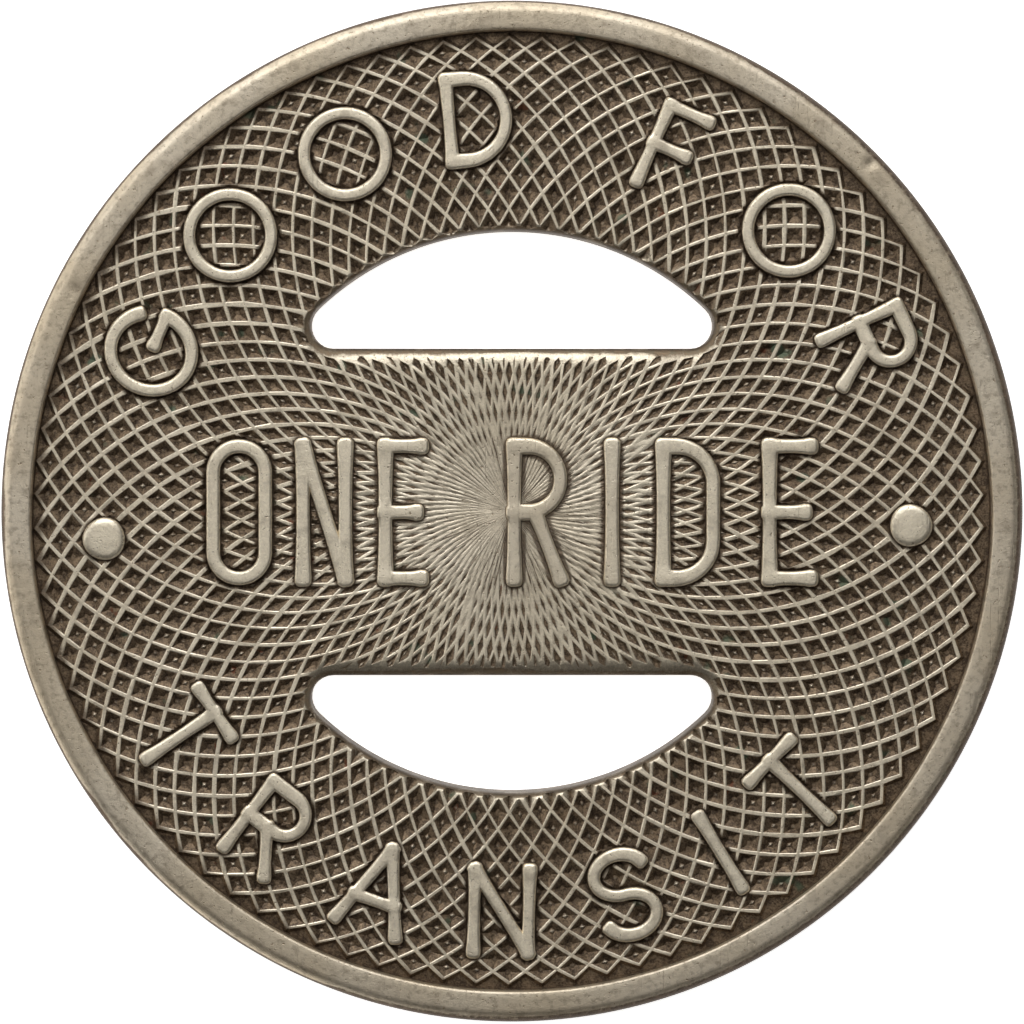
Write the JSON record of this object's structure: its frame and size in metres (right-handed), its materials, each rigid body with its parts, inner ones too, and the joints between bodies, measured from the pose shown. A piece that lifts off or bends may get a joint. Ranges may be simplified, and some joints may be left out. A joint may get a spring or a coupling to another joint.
{
  "type": "transit token",
  "caption": "Round struck metal fare token with a raised rim, raised lettering and two piercings either side of a straight bar.",
  "frame": {"origin": "centre of the reverse rim's flat, which the token rests on", "axes": "+Z along the token's axis, out of the obverse; +Y to the top of the obverse, square to the bar; +X along the bar"},
  "size_m": [0.023, 0.023, 0.0016],
  "materials": {
    "nickel_silver": "satin"
  },
  "bodies": {
    "root": {"struck_token": "nickel_silver"}
  },
  "joints": []
}
